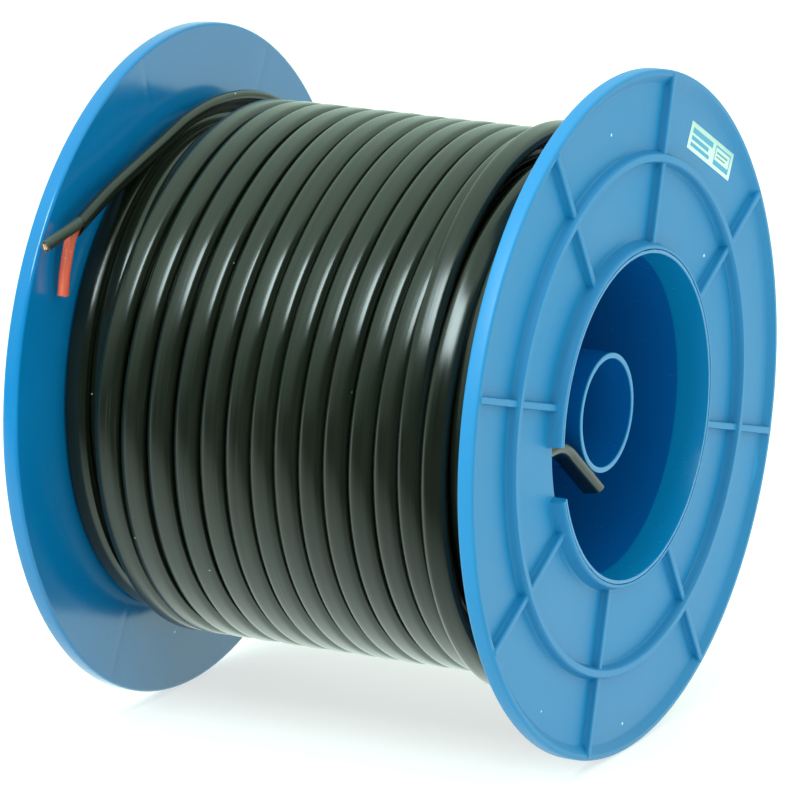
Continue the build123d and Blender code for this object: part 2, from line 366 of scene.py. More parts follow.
def core_plastic(name, dark, light, mark):
    """Soft core insulation with chalky marks where the sheath was pulled off."""
    s = Shader(name)
    here = s.place()
    streak = s.noise(s.place((1, 1, 0.05), "cable"), 1500, 3)
    colour = s.mix(s.remap(streak, 0.35, 0.65), dark, light)
    chalk = s.remap(s.noise(here, 900, 4, 0.7), 0.60, 0.72, 0.0, 0.55)
    colour = s.mix(chalk, colour, mark)
    relief = s.bump(s.noise(here, 700, 3), 0.00006, 0.5)
    return s.finish(Base_Color=colour, Roughness=s.remap(streak, 0.3, 0.7, 0.34, 0.5), Normal=relief)


def bare_copper():
    """Bright copper with brown tarnish."""
    s = Shader("copper")
    here = s.place()
    tarnish = s.noise(here, 1100, 3)
    colour = s.mix(s.remap(tarnish, 0.35, 0.7), (0.93, 0.60, 0.42), (0.62, 0.27, 0.15))
    relief = s.bump(tarnish, 0.00003, 0.4)
    return s.finish(Base_Color=colour, Roughness=s.remap(tarnish, 0.3, 0.7, 0.25, 0.42),
                    Metallic=1.0, Normal=relief)


# The sticker's print as (left, right, bottom, top) from its middle
PRINT_BARS = ((-14.5, 1.0, 1.0, 2.7), (-14.5, -1.5, -1.0, 0.3), (-14.5, -0.2, -2.9, -1.7))
PRINT_BOX = (3.0, 14.6, -3.0, 2.9)
PRINT_BOX_HOLE = (3.6, 14.0, -1.4, 2.3)
PRINT_LINES = ((4.6, 12.6, 0.7, 1.3), (4.6, 11.2, -0.5, 0.0))


def sticker_print():
    """Pale foil paper with a generic print: three plain bars and an outlined box. No lettering."""
    s = Shader("sticker")
    place = s.add("ShaderNodeSeparateXYZ")
    s.feed(place.inputs[0], s.place(attribute="cable"))
    along, across = place.outputs["X"], place.outputs["Y"]

    def band(value, low, high):
        above = s.math("GREATER_THAN", value, low * MM)
        below = s.math("LESS_THAN", value, high * MM)
        return s.math("MULTIPLY", above, below)

    def block(left, right, bottom, top):
        return s.math("MULTIPLY", band(along, left, right), band(across, bottom, top))

    def blocks(edges):
        return functools.reduce(lambda a, b: s.math("MAXIMUM", a, b), [block(*each) for each in edges])

    box = s.math("SUBTRACT", block(*PRINT_BOX), block(*PRINT_BOX_HOLE))
    ink = s.math("MAXIMUM", blocks(PRINT_BARS), box)
    lines = blocks(PRINT_LINES)
    worn = s.remap(s.noise(s.place(), 2600, 3, 0.7), 0.25, 0.42, 0.35, 1.0)
    paper = s.mix(s.remap(across, -2 * MM, 4 * MM), (0.60, 0.65, 0.62), (0.36, 0.46, 0.45))
    cloud = s.math("MULTIPLY", s.remap(s.noise(s.place(), 240, 3), 0.35, 0.7), 0.2)
    paper = s.mix(cloud, paper, (0.7, 0.78, 0.76))
    colour = s.mix(s.math("MULTIPLY", ink, worn), paper, (0.012, 0.23, 0.42))
    colour = s.mix(s.math("MULTIPLY", lines, worn), colour, (0.05, 0.17, 0.24))
    relief = s.bump(s.noise(s.place(), 500, 2), 0.00005, 0.5)
    return s.finish(Base_Color=colour, Roughness=0.32, Normal=relief)


FLOOR_TINT = (0.74, 0.90, 0.82)
FLOOR_SHADE, FLOOR_SHEEN = 0.14, 1.95    # its brightness in reflections, near the camera and beyond
FLOOR_GLOW = 0.62                        # what keeps the shadow faint where the camera sees it
DARK_SIDE = (-0.80, -0.59, 0.08)         # towards the camera's side of the room


def studio_floor():
    """Pale and plain. Seen directly it keeps only a faint shadow. In reflections it is a lit sweep
    that falls off into the dark on the camera's side, as over the edge of a table."""
    s = Shader("pale_floor")
    tone = s.mix(s.remap(s.noise(s.place(), 3, 2), 0.3, 0.7), (0.78, 0.86, 0.81), (0.80, 0.88, 0.83))
    path = s.add("ShaderNodeLightPath")
    away = s.add("ShaderNodeVectorMath", operation="DOT_PRODUCT")
    s.feed(away.inputs[0], s.place())
    away.inputs[1].default_value = (-DARK_SIDE[0], -DARK_SIDE[1], 0)
    glossy, camera = path.outputs["Is Glossy Ray"], path.outputs["Is Camera Ray"]
    sheen = s.remap(away.outputs["Value"], -0.21, -0.05, FLOOR_SHADE, FLOOR_SHEEN)
    tone = s.mix(glossy, s.mix(camera, tone, (0.42, 0.42, 0.42)), (0, 0, 0))
    strength = s.math("ADD", s.math("MULTIPLY", camera, FLOOR_GLOW), s.math("MULTIPLY", glossy, sheen))
    return s.finish(Base_Color=tone, Roughness=0.9, Specular_IOR_Level=0.0,
                    Emission_Color=s.mix(glossy, (1, 1, 1), FLOOR_TINT), Emission_Strength=strength)


# ---------------------------------------------------------------- flanges

def height_at(profile, value):
    where, height = zip(*profile)
    return np.interp(value, where, height)


def soft_max(a, b):
    """The larger of two heights, with a small fillet where they meet."""
    return 0.5 * (a + b + np.sqrt((a - b) ** 2 + FILLET ** 2 * 0.25))


def flange_columns():
    """Radial grid lines: the spoke each belongs to, its offset from it, its share of the way on to
    the next spoke, and whether it lies in the collar's notch. They follow the spokes' edges."""
    offsets = [0.0, 0.4, 0.72, 0.83, 0.92, 0.99, 1.04, 1.1, 1.17, 1.24, 1.36, 1.6, 2.2, 3.4]
    columns = []
    for spoke in range(SPOKES):
        start = FIRST_SPOKE + spoke * 360 / SPOKES
        lead = math.degrees(math.asin(offsets[-1] / COLLAR_BORE))
        spread = 360 / SPOKES - 2 * lead
        shares = list(np.linspace(0, 1, 17)[1:-1])
        ends = [(NOTCH_ANGLE + side * NOTCH_SPAN / 2 - start - lead) / spread for side in (-1, 1)]
        cut = 0 < ends[0] < 1
        if cut:
            shares = [share for share in shares if min(abs(share - end) for end in ends) > 0.02]
            shares += [end + nudge for end in ends for nudge in (-0.006, 0.006)]
        columns += [(start, offset, None, 0.0) for offset in offsets]
        for share in sorted(shares):
            columns.append((start, offsets[-1], share, float(cut and ends[0] < share < ends[1])))
        columns += [(start + 360 / SPOKES, -offset, None, 0.0) for offset in offsets[:0:-1]]
    return columns


def flange_rows():
    """The flange's section as (kind, radius or share) rows, all the way round: inner face, bore,
    ribbed face, outer edge."""
    inner = [98.9, 97.5, 95.0, 90.0, 84.0, 79.0, 77.0, 76.0, 75.3, 74.6, 73.9, 73.2, 72.2, 70.0, 64.0,
             57.0, 52.0, 50.0, 49.2]
    ribbed = [49.0, 49.15, 49.3, 49.45, 49.6, 49.8, 50.1, 50.4, 50.65, 50.8, 51.0, 51.4, 52.4, 54.5, 58.0,
              62.0, 66.0, 69.5, 71.6, 72.3, 72.55, 72.7, 72.9, 73.2, 73.5, 73.62, 73.75, 74.1, 74.6, 75.1,
              75.45, 75.58, 75.7, 76.0, 76.3, 76.5, 76.65, 76.9, 77.6, 79.5, 83.0, 86.5, 90.0, 93.0, 94.8,
              95.5, 95.8, 96.0, 96.4, 97.0, 97.6, 98.0, 98.1, 98.2, 98.6]
    rows = [("inner", radius) for radius in inner]
    rows += [("bore", share) for share in (0.02, 0.06, 0.3, 0.6, 0.9, 0.97)]
    rows += [("ribbed", radius) for radius in ribbed]
    turn = np.radians([0, 22.5, 45, 67.5, 90])
    rows += [("edge", (EDGE_ROUND * math.sin(a), RIM_HEIGHT - EDGE_ROUND * (1 - math.cos(a)))) for a in turn]
    rows += [("edge", (EDGE_ROUND * math.cos(a), EDGE_ROUND * (1 - math.sin(a)))) for a in turn]
    return rows


def ribbed_height(radius, offset, notch):
    """Height of the ribbed face above the inner face."""
    collar = height_at(COLLAR_PROFILE, radius) * (1 - notch)
    height = soft_max(PLATE, max(collar, height_at(RING_PROFILE, radius)))
    height = soft_max(height, height_at(RIM_PROFILE, radius))
    return soft_max(height, height_at(SPOKE_PROFILE, abs(offset)))


def flange(name, side, material):
    """One flange. side is -1 for the near one and +1 for the far one, which is turned round."""
    columns, rows = flange_columns(), flange_rows()
    points = np.zeros((len(rows), len(columns), 3))
    for number, (start, offset, share, notch) in enumerate(columns):
        bore = KEY_RADIUS if notch else COLLAR_BORE
        rise = PLATE if notch else COLLAR_HEIGHT
        for row, (kind, value) in enumerate(rows):
            if kind == "inner":
                radius, height = value, sink(value, offset)
            elif kind == "bore":
                radius, height = bore, value * rise
                if value in (0.02, 0.97):
                    radius += 0.12
                    height = 0.0 if value < 0.5 else rise
            elif kind == "ribbed":
                radius = bore + 0.3 + (value - 49.0) if value < 49.2 else value
                height = ribbed_height(value, offset, notch)
            else:
                radius, height = FLANGE_RADIUS - EDGE_ROUND + value[0], value[1]
            reach = math.degrees(math.asin(abs(offset) / radius))
            if share is None:
                angle = start + math.copysign(reach, offset)
            else:
                angle = start + reach + share * (360 / SPOKES - 2 * reach)
            angle = math.radians(angle)
            points[row, number] = radius * math.cos(angle), HALF_WIDTH + height, radius * math.sin(angle)
    if side < 0:
        points[..., 1] *= -1
    else:
        points[..., 0] *= -1
    return add_object(name, points.reshape(-1, 3), wrapped_grid(len(rows), len(columns)), material, "spool")


def sink(radius, offset):
    """Depth of the sink marks that the ribs leave in the inner face."""
    spoke = math.exp(-(offset / SINK_WIDTH) ** 2) * (51 < radius < 98.5)
    ring = math.exp(-((radius - RING_RADIUS) / SINK_WIDTH) ** 2)
    return SINK_DEPTH * max(spoke, 0.7 * ring)


def build_spool(near_plastic, far_plastic, material):
    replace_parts(flange("near_flange_moulding", -1, near_plastic), "near_flange")
    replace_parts(flange("far_flange_moulding", 1, far_plastic), "far_flange")

    def ragged(radius, height, angles):
        """The barrel's trimmed ends: a slightly uneven edge against the collar."""
        noise = smooth_noise(len(angles), 90) * 0.10
        end = (np.abs(height) > COLLAR_TOP - 0.6) & (radius > SPIGOT_RADIUS - 0.3)
        return radius - end * np.abs(noise), height

    end, face, r = COLLAR_TOP - 0.05, HALF_WIDTH - 0.1, 0.18
    profile = [(BARREL_BORE, y) for y in (-end + r, -60, -40, -20, 0, 20, 40, 60, end - r)]
    profile += [(BARREL_BORE + 0.05, end - 0.05), (BARREL_BORE + r, end), (SPIGOT_RADIUS - r, end),
                (SPIGOT_RADIUS - 0.05, end - 0.05), (SPIGOT_RADIUS, end - r), (SPIGOT_RADIUS, face + 0.02),
                (SPIGOT_RADIUS + 0.05, face), (BARREL_RADIUS - 0.1, face), (BARREL_RADIUS, face - 0.1)]
    profile += [(BARREL_RADIUS, y) for y in (30, 0, -30)]
    profile += [(radius, -y) for radius, y in profile[17:8:-1]]
    barrel = lathe("barrel_tube", profile, material, "spool", 360, ragged)
    cut_slots(barrel)
    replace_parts(barrel, "barrel")

    inner, outer = SPINDLE_OUTER + 0.05, BARREL_BORE - 0.05
    web = [(inner, -WEB_HALF), (inner + WEB_WALL, -WEB_HALF), (inner + WEB_WALL, -WEB_DISC),
           (outer - WEB_WALL, -WEB_DISC), (outer - WEB_WALL, -WEB_RIM), (outer, -WEB_RIM)]
    web += [(radius, -y) for radius, y in web[::-1]]
    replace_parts(lathe("hub_web_disc", rounded(web, 0.5), material, "spool", 180), "hub_web")

    sleeve = [(SPINDLE_BORE, -SPINDLE_END), (SPINDLE_OUTER, -SPINDLE_END),
              (SPINDLE_OUTER, SPINDLE_END), (SPINDLE_BORE, SPINDLE_END)]
    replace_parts(lathe("spindle_sleeve", rounded(sleeve, 0.35), material, "spool", 180), "spindle_tube")


def weld(mesh):
    """Merges the doubled points that a Boolean can leave."""
    work = bmesh.new()
    work.from_mesh(mesh)
    bmesh.ops.remove_doubles(work, verts=work.verts, dist=WELD_DISTANCE * MM)
    work.to_mesh(mesh)
    work.free()


def cut_slots(barrel):
    """Cuts the two cable slots in the barrel's ends."""
    for side, middle in ((-1, NOTCH_ANGLE), (1, 180 - NOTCH_ANGLE)):
        angles = np.radians(middle + np.linspace(-0.5, 0.5, 13) * NOTCH_SPAN)
        rings = []
        for y in (HALF_WIDTH - SLOT_DEPTH, COLLAR_TOP + 2):
            for radius in (BARREL_BORE - 2, BARREL_RADIUS + 2):
                rings.append([(radius * math.cos(a), side * y, radius * math.sin(a)) for a in angles])
        count = len(angles)
        points = [point for ring in rings for point in ring]
        faces = []
        for a, b in ((0, 1), (1, 3), (3, 2), (2, 0)):
            for i in range(count - 1):
                faces.append((a * count + i, a * count + i + 1, b * count + i + 1, b * count + i))
        faces += [(0, count, 3 * count, 2 * count)]
        faces += [tuple(k * count + count - 1 for k in (0, 2, 3, 1))]
        cutter = add_object("slot_cutter", points, faces, barrel.data.materials[0], "spool")
        modifier = barrel.modifiers.new("slot", "BOOLEAN")
        modifier.operation, modifier.solver, modifier.object = "DIFFERENCE", "EXACT", cutter
        bpy.context.view_layer.update()
        cut = bpy.data.meshes.new_from_object(barrel.evaluated_get(bpy.context.evaluated_depsgraph_get()))
        weld(cut)
        barrel.modifiers.clear()
        barrel.data = cut
        bpy.data.objects.remove(cutter)
    barrel.data.shade_smooth()
    barrel.data.set_sharp_from_angle(angle=SHARP_ANGLE)


def build_label():
    low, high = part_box("label")
    middle = (low + high) / 2 / MM
    half, tilt = np.array([LABEL_HALF_LENGTH, LABEL_HALF_WIDTH]), math.radians(LABEL_TILT)
    corners = [half * sides for sides in ((-1, -1), (1, -1), (1, 1), (-1, 1))]
    outline = np.array(rounded(corners, LABEL_CORNER))
    top = LABEL_THICKNESS
    rings, coordinates = [], []
    for inset, height in ((0.0, 0.0), (0.0, top - 0.02), (0.05, top), (2.0, top)):
        flat = outline * (1 - inset / half)
        x = middle.x + flat[:, 0] * math.cos(tilt) - flat[:, 1] * math.sin(tilt)
        z = middle.z + flat[:, 0] * math.sin(tilt) + flat[:, 1] * math.cos(tilt)
        y = np.full(len(flat), -HALF_WIDTH - PLATE - height)
        rings.append(np.stack([x, y, z], axis=-1))
        coordinates.append(np.column_stack([flat, np.zeros(len(flat))]))
    sticker = add_object("label_sticker", np.concatenate(rings), capped_grid(len(rings), len(outline)),
                         sticker_print(), "spool", cable_coordinates=np.concatenate(coordinates))
    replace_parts(sticker, "label")


# ---------------------------------------------------------------- cable

def smooth_noise(count, knots):
    """A seeded random curve of about unit size that closes on itself."""
    values = rng.normal(0, 1, knots)
    where = np.linspace(0, knots, count, endpoint=False)
    before = np.floor(where).astype(int) % knots
    share = where - np.floor(where)
    share = share * share * (3 - 2 * share)
    return values[before] * (1 - share) + values[(before + 1) % knots] * share


def cable_outline(per_corner=5):
    """The cable's section: a flat oblong with round corners and slightly crowned faces."""
    half = CABLE_WIDTH / 2 - CABLE_CORNER, HALF_THICKNESS - CABLE_CORNER
    outline = []
    for quarter, (sx, sy) in enumerate(((1, 1), (-1, 1), (-1, -1), (1, -1))):
        x, y = sx * half[0], sy * half[1]
        for a in np.radians(quarter * 90 + np.linspace(0, 90, per_corner)):
            outline.append((x + CABLE_CORNER * math.cos(a), y + CABLE_CORNER * math.sin(a)))
        if quarter in (0, 2):
            for share in (0.25, 0.5, 0.75):
                outline.append((x * (1 - 2 * share), sy * HALF_THICKNESS))
    outline = np.array(outline)
    outline[:, 1] *= 1 - CABLE_CROWN / HALF_THICKNESS * np.abs(2 * outline[:, 0] / CABLE_WIDTH) ** 3
    return outline


def pocket_outline(outline):
    """The sheath's inner outline, round both cores, point for point with its outer one."""
    middle = np.clip(outline[:, 0], -CORE_OFFSET, CORE_OFFSET)
    away = outline - np.column_stack([middle, np.zeros(len(outline))])
    away /= np.linalg.norm(away, axis=1)[:, None]
    return np.column_stack([middle, np.zeros(len(outline))]) + SHEATH_BORE * away


def circle_outline(radius, count=20, offset=0.0):
    angles = np.radians(np.arange(count) * 360 / count)
    return np.column_stack([offset + radius * np.cos(angles), radius * np.sin(angles)])


def frames(path, roll):
    """Across and outward directions along a path. Roll tips the near edge outward."""
    path = np.asarray(path, float)
    along = np.gradient(path, axis=0)
    along /= np.linalg.norm(along, axis=1)[:, None]
    across = np.array([0.0, -1.0, 0.0]) - along * (along @ np.array([0.0, -1.0, 0.0]))[:, None]
    across /= np.linalg.norm(across, axis=1)[:, None]
    outward = np.cross(along, across)
    roll = np.radians(np.broadcast_to(roll, len(path)))[:, None]
    cos, sin = np.cos(roll), np.sin(roll)
    return along, across * cos + outward * sin, outward * cos - across * sin


def sections_at(centres, across, outward, section):
    """The section's points at each centre along a path."""
    return centres[:, None] + section[None, :, :1] * across[:, None] + section[None, :, 1:] * outward[:, None]


def lengths_along(path):
    return np.concatenate([[0], np.cumsum(np.linalg.norm(np.diff(path, axis=0), axis=1))])


def swept(name, path, roll, outline, material, body, bore=None, ragged=0.0):
    """A section swept along a path and closed at both ends. A bore makes it a tube. ragged is the
    unevenness of the cut at the far end."""
    path = np.asarray(path, float)
    along, across, outward = frames(path, roll)
    travelled = lengths_along(path)

    def rings(section):
        points = sections_at(path, across, outward, section)
        where = np.concatenate([np.repeat(section[None], len(path), 0),
                                np.repeat(travelled[:, None, None], len(section), 1)], axis=-1)
        return points, where

    count = len(outline)
    points, where = rings(outline)
    uneven = smooth_noise(count, 9)[:, None] * along[-1] * ragged
    points[-1] += uneven
    if bore is None:
        points, where = points.reshape(-1, 3), where.reshape(-1, 3)
        faces = capped_grid(len(path), count)
    else:
        inner_points, inner_where = rings(bore)
        inner_points[-1] += uneven * 0.9
        points = np.concatenate([points, inner_points[::-1]]).reshape(-1, 3)
        where = np.concatenate([where, inner_where[::-1]]).reshape(-1, 3)
        faces = wrapped_grid(2 * len(path), count)
    return add_object(name, points, faces, material, body, cable_coordinates=where)


def strands(name, path, material, body, proud=0.35):
    """A stranded conductor: nineteen wires with a slow twist, each cut to its own length."""
    path = np.asarray(path, float)
    along, across, outward = frames(path, 0)
    travelled = lengths_along(path)
    places = [(0.0, 0.0)]
    for ring, count in ((1, 6), (2, 12)):
        places += [(ring * 2 * STRAND_RADIUS * 1.02, 360 / count * i) for i in range(count)]
    section = circle_outline(STRAND_RADIUS, 8)
    points, faces, where = [], [], []
    for radius, angle in places:
        turn = np.radians(angle + travelled * STRAND_TWIST)
        centre = path + radius * (np.cos(turn)[:, None] * across + np.sin(turn)[:, None] * outward)
        centre[-1] += along[-1] * rng.uniform(0.0, proud)
        rings = sections_at(centre, across, outward, section)
        base, count = sum(len(block) for block in points), len(section)
        points.append(rings.reshape(-1, 3))
        where.append(np.repeat(travelled, count)[:, None] * np.array([0, 0, 1.0]))
        faces += [tuple(base + corner for corner in quad) for quad in capped_grid(len(path), count)]
    return add_object(name, np.concatenate(points), faces, material, body,
                      cable_coordinates=np.concatenate(where))


def blurred(values, step, span):
    """values, sampled every step, averaged over span."""
    width = max(1, int(span / step) | 1)
    padded = np.pad(values, width // 2, mode="edge")
    return np.convolve(padded, np.ones(width) / width, mode="valid")


def wander(angles, every, amount):
    """A slow seeded wander along a winding."""
    knots = np.arange(angles[0] - every, angles[-1] + 2 * every, every)
    values = rng.normal(0, amount, len(knots))
    return blurred(np.interp(angles, knots, values), abs(angles[1] - angles[0]), every * 0.8)


def ring_path(angles, y, radius):
    angles = np.radians(angles)
    return np.column_stack([radius * np.cos(angles), y, radius * np.sin(angles)])


def build_inner_layers(sheath):
    """Layers one to six, each a helix that the next one covers."""
    coarse = cable_outline(3)
    limit = HALF_WIDTH - SIDE_CLEARANCE - CABLE_WIDTH / 2
    for number in range(1, LAYERS):
        half_seen = number == LAYERS - 1
        step = 3.0 if half_seen else 5.0
        low, high = (-42.3, limit) if half_seen else (-limit, limit)
        turns = round((high - low) / TURN_STEP)
        angles = np.arange(0, turns * 360 + 360 + step, step)
        y = np.interp(angles, [0, 180, turns * 360 + 180, turns * 360 + 360], [low, low, high, high])
        if number % 2 == 0:
            y = y[::-1]
        radius = np.full(len(angles), LAYER_TOPS[number - 1] - HALF_THICKNESS)
        if half_seen:
            # The second turn sinks between the first, against the far flange, and the rest.
            radius += np.interp(angles, [0, 250, 330, 700, 780], [-0.5, -0.5, -3.0, -3.0, 0])
        y = y + wander(angles, 70, 0.05)
        start = 217 if number % 2 else 37
        path = ring_path(angles + start, y, radius)
        layer = swept(f"winding_layer_{number}", path, 0, coarse, sheath, "spool")
        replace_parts(layer, f"cable_layer_{number}")


BASE_ROLL = -2.2           # every turn leans on the one before it
FIRST_TURN_Y = -66.4
FRONT_ANGLE = 175.0        # turn positions are given where the winding faces the front
EARLY_STEPS = (7.75, 6.6)
CLIMB_STEPS = (7.75, 8.25, 7.85, 8.0, 7.95, 7.9, 8.0, 7.8, 8.3, 8.4, 8.5, 8.8, 8.6)
# Angle round a turn, and how far it lies to the near side of an even helix
CROSSING = ((0, 2.6), (100, 4.9), (118, 5.2), (122.5, 4.9), (133.5, 3.9), (141, 3.1), (148, 2.55),
            (159, 1.65), (170, 0.85), (181.5, 0.35), (195, 0.0), (232, 0.0), (360, 2.6))
# Angle and roll where the winding climbs: the second turn leans hard over the low ones
CLIMB_ROLL = ((60, 0), (95, -40), (123, -42), (145, -12), (200, -10), (250, -2), (420, 1), (470, -6),
              (520, -6), (560, BASE_ROLL))
LEAD_FROM = 14 * 360
# Angle past the back, y, centre radius and roll of the last wrap before the free tail
LEAD = ((-185, 53.65, 77.36, 0), (-90, 54.4, 77.36, 0), (0, 56.2, 77.36, 0), (35, 58.2, 78.1, 12),
        (50, 60.4, 79.3, 26), (61, 62.9, 79.7, 38), (70, 64.4, 78.5, 45), (78, 65.1, 76.9, 49),
        (86.5, 65.2, 75.7, 49), (95, 65.2, 74.95, 49), (104, 65.2, 74.5, 49))


def crossing(angles):
    """How far a regular turn lies towards the near side of an even helix. Most of each turn's
    advance is made on the upper front."""
    where, shift = zip(*CROSSING)
    return blurred(np.interp(np.mod(angles, 360), where, shift), ANGLE_STEP, 14)


def build_outer_layer(sheath):
    """The outermost layer: two low turns beside the near flange, a climb, and regular turns."""
    angles = np.arange(-2 * 360 - 90, LEAD_FROM + 0.1, ANGLE_STEP)
    turn_y = FIRST_TURN_Y + np.concatenate([[0], np.cumsum(EARLY_STEPS + CLIMB_STEPS)])
    turn_angle = FRONT_ANGLE + 360 * (np.arange(len(turn_y)) - 2)
    y = np.interp(angles, turn_angle, turn_y)
    y = blurred(y, ANGLE_STEP, 90)
    y -= crossing(angles) * np.interp(angles, [530, 600, 640, 780], [0, 0.3, 0.45, 1])
    lead = np.array(LEAD)
    on_lead = angles > LEAD_FROM - 185
    y[on_lead] = np.interp(angles[on_lead] - LEAD_FROM, lead[:, 0], lead[:, 1])
    y = blurred(y, ANGLE_STEP, 40)
    top = LAYER_TOPS[-1]
    radius = np.interp(angles, [0, 112, 178, 254, 400, 434, 505], [75.4, 75.4, top, 83.6, 83.0, 82.6, top])
    radius = blurred(radius, ANGLE_STEP, 24) - HALF_THICKNESS
    where, roll = zip(*CLIMB_ROLL, (LEAD_FROM - 160, BASE_ROLL), (LEAD_FROM - 10, 0))
    roll = blurred(np.interp(angles, where, roll), ANGLE_STEP, 12)
    quiet = np.clip((LEAD_FROM - angles) / 60, 0, 1)
    y += wander(angles, 60, 0.16) * quiet
    radius += wander(angles, 75, 0.06) * quiet
    roll += wander(angles, 50, 1.3) * quiet
    outer = swept("winding_outer", ring_path(angles, y, radius), roll, cable_outline(6), sheath, "spool")
    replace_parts(outer, "cable_layer_7", "climbing_turn")


def curve_through(points, step):
    """A smooth curve through a few points, sampled about every step millimetres."""
    points = np.asarray(points, float)
    ends = np.vstack([2 * points[0] - points[1], points, 2 * points[-1] - points[-2]])
    made = []
    for i in range(1, len(ends) - 2):
        a, b, c, d = ends[i - 1:i + 3]
        count = max(2, int(round(np.linalg.norm(c - b) / step)))
        for t in np.arange(count) / count:
            made.append(0.5 * (2 * b + (c - a) * t + (2 * a - 5 * b + 4 * c - d) * t ** 2
                               + (3 * b - a - 3 * c + d) * t ** 3))
    made.append(points[-1])
    return np.array(made)


def tail_geometry():
    """The outer tail's directions and its mouth, from the joints and the CAD sheath."""
    slope, roll = math.radians(TAIL_SLOPE), math.radians(TAIL_ROLL)
    along = Vector((-math.cos(slope), 0, -math.sin(slope)))
    outward = Vector((-math.sin(slope), 0, math.cos(slope)))
    across = Vector((0, -1, 0)) * math.cos(roll) + outward * math.sin(roll)
    black, red = JOINTS["black_core_bend"], JOINTS["red_core_bend"]
    mouth = (black + red) / 2 - along * 1.8
    return along, outward, across, mouth


def build_outer_tail(materials):
    along, outward, _, mouth = tail_geometry()
    lead = np.array(LEAD)
    angles = np.arange(LEAD_FROM, LEAD_FROM + 104, ANGLE_STEP)
    past = angles - LEAD_FROM
    y, radius, roll = (np.interp(past, lead[:, 0], lead[:, column]) for column in (1, 2, 3))
    y[1:], radius[1:], roll[1:] = (blurred(v, ANGLE_STEP, 16)[1:] for v in (y, radius, roll))
    lead_path = ring_path(angles, y, radius)
    foot = mouth - along * TAIL_LENGTH
    free = []
    for distance, sag in ((6, 0.0), (20, 0.45), (36, 0.75), (47, 0.2), (TAIL_LENGTH, -0.45)):
        free.append(np.array(foot + along * distance + outward * sag))
    split = int(np.argmin(np.abs(past - 92)))
    wrap = lead_path[:split + 1]
    tail_path = curve_through(np.vstack([lead_path[split - 1:], free]), 1.5)
    first = int(np.argmin(np.linalg.norm(tail_path - lead_path[split], axis=1)))
    tail_path = tail_path[first:]
    outline = cable_outline(6)
    lead_piece = swept("outer_lead_wrap", wrap, roll[:split + 1], outline, materials["sheath"], "spool")
    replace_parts(lead_piece, "outer_lead")

    def bend(piece):
        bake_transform(piece)

    sheath = swept("tail_jacket", tail_path, TAIL_ROLL, outline, materials["sheath"], None,
                   bore=pocket_outline(outline), ragged=0.45)
    bend(sheath)
    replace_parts(sheath, "tail_sheath")
    inside = tail_path[:-4]
    for colour, side in (("black", 1), ("red", -1)):
        offset = side * CORE_OFFSET
        core = swept(f"tail_{colour}_insulation", inside, TAIL_ROLL, circle_outline(CORE_RADIUS, 20, offset),
                     materials[colour], None, bore=circle_outline(CORE_BORE, 20, offset))
        wire = swept(f"tail_{colour}_wire", inside, TAIL_ROLL, circle_outline(WIRE_RADIUS, 12, offset),
                     materials["copper"], None)
        for piece, node in ((core, "core"), (wire, "conductor")):
            bend(piece)
            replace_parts(piece, f"tail_{colour}_{node}")
    return tail_path


def core_end(colour, points, materials, ragged):
    """A stripped core that leaves the sheath's mouth, with its bare strands at the cut."""
    path = curve_through(points, 0.6)
    insulation = swept(f"{colour}_end_jacket", path, 0, circle_outline(CORE_RADIUS, 28), materials[colour],
                       None, bore=circle_outline(CORE_BORE, 28), ragged=ragged)
    wire = strands(f"{colour}_end_strands", path, materials["copper"], None)
    for piece, node in ((insulation, "insulation"), (wire, "conductor")):
        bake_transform(piece)
        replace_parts(piece, f"{colour}_end_{node}")


def build_core_ends(materials, tail_path):
    across = tail_geometry()[2]
    black, red = JOINTS["black_core_bend"], JOINTS["red_core_bend"]
    inside = Vector(tail_path[-4])
    black_inside = inside + across * CORE_OFFSET
    points = [black_inside, black_inside.lerp(black, 0.55), black + Vector((-1.0, 0.1, -0.1)),
              black + Vector((-7.0, 1.0, -1.7)), black + Vector((-14.07, 2.1, -3.69))]
    core_end("black", points, materials, 0.16)
    red_inside = inside - across * CORE_OFFSET
    points = [red_inside, red_inside.lerp(red, 0.6), red + Vector((-0.5, 0.05, -1.9)),
              red + Vector((-2.0, 0.25, -6.3)), red + Vector((-3.2, 0.6, -12.0)),
              red + Vector((-3.8, 0.8, -17.9))]
    core_end("red", points, materials, 0.32)


def build_inner_tail(materials):
    """The cable's first end: out of the barrel's slot, bent down past the spindle tube."""
    slope = math.radians(INNER_SLOPE)
    corner = np.array([INNER_CORNER, INNER_Y, INNER_LEVEL])
    down = np.array([math.cos(slope), 0, -math.sin(slope)])
    tangent = INNER_BEND * math.tan(slope / 2)
    path = [np.array([x, INNER_Y, INNER_LEVEL]) for x in np.arange(INNER_START, corner[0] - tangent, 1.0)]
    centre = corner - np.array([tangent, 0, INNER_BEND])
    path += [centre + INNER_BEND * np.array([math.sin(a), 0, math.cos(a)]) for a in np.linspace(0, slope, 14)]
    path += [corner + down * distance for distance in np.arange(tangent + 1.0, INNER_REACH, 1.0)]
    path.append(corner + down * INNER_REACH)
    path = np.array(path)
    outline = cable_outline(6)

    def place(piece, *nodes):
        skew_cut(piece, path[-1], down)
        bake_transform(piece)
        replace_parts(piece, *nodes)

    place(swept("inner_jacket", path, 0, outline, materials["sheath"], None,
                bore=pocket_outline(outline), ragged=0.05), "inner_sheath", "inner_lead")
    for colour, side in (("black", 1), ("red", -1)):
        offset = side * CORE_OFFSET
        place(swept(f"inner_{colour}_insulation", path, 0, circle_outline(CORE_RADIUS, 20, offset),
                    materials[colour], None, bore=circle_outline(CORE_BORE, 20, offset)),
              f"inner_{colour}_core")
        place(swept(f"inner_{colour}_wire", path, 0, circle_outline(WIRE_RADIUS, 14, offset),
                    materials["copper"], None), f"inner_{colour}_conductor")


